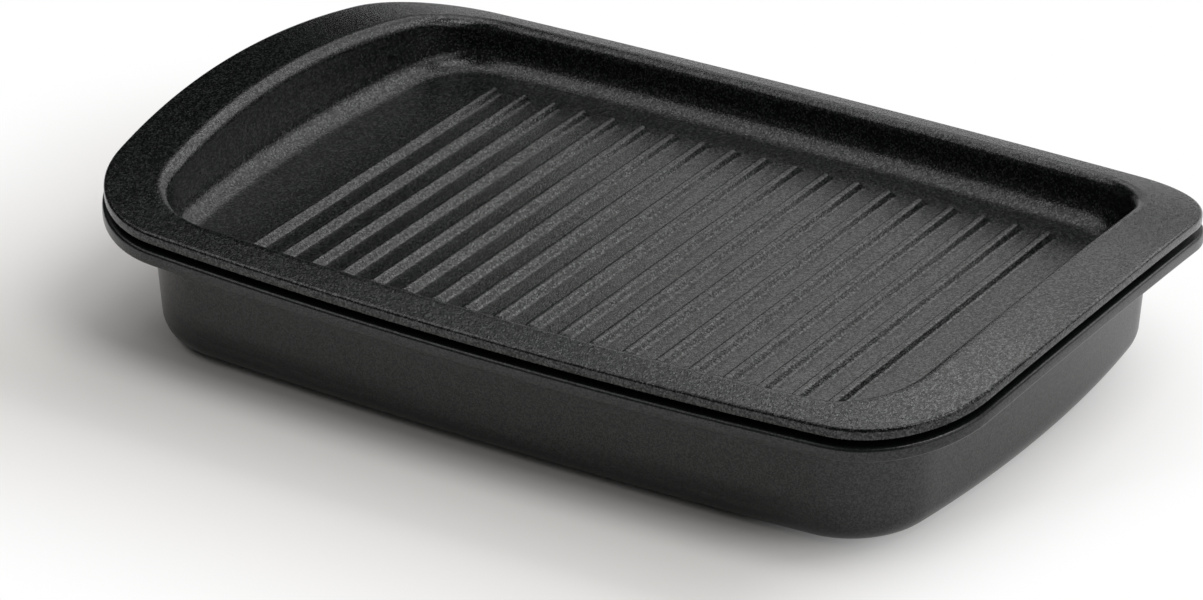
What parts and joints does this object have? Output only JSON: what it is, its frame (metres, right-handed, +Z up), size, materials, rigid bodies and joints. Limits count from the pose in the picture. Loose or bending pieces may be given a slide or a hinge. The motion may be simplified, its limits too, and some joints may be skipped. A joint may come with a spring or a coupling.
{
  "type": "plancha griddle on a roasting pan",
  "caption": "Rectangular ribbed griddle tray with an arched flange rim, nested on a deep roasting pan of the same outline.",
  "frame": {"origin": "centre of the pan's flat bottom, on the surface that it stands on", "axes": "+X along the long sides, +Y across the width, +Z up; the ribs run along Y"},
  "size_m": [0.4218, 0.2728, 0.0767],
  "materials": {
    "griddle_coating": "satin",
    "pan_coating": "satin"
  },
  "bodies": {
    "pan": {"roasting_pan": "pan_coating"},
    "griddle": {"griddle_plate": "griddle_coating"}
  },
  "joints": [
    {"name": "griddle_lift", "type": "slide", "parent": "pan", "child": "griddle", "axis": [0, 0, 1], "range_m": [0, 0.08]}
  ]
}
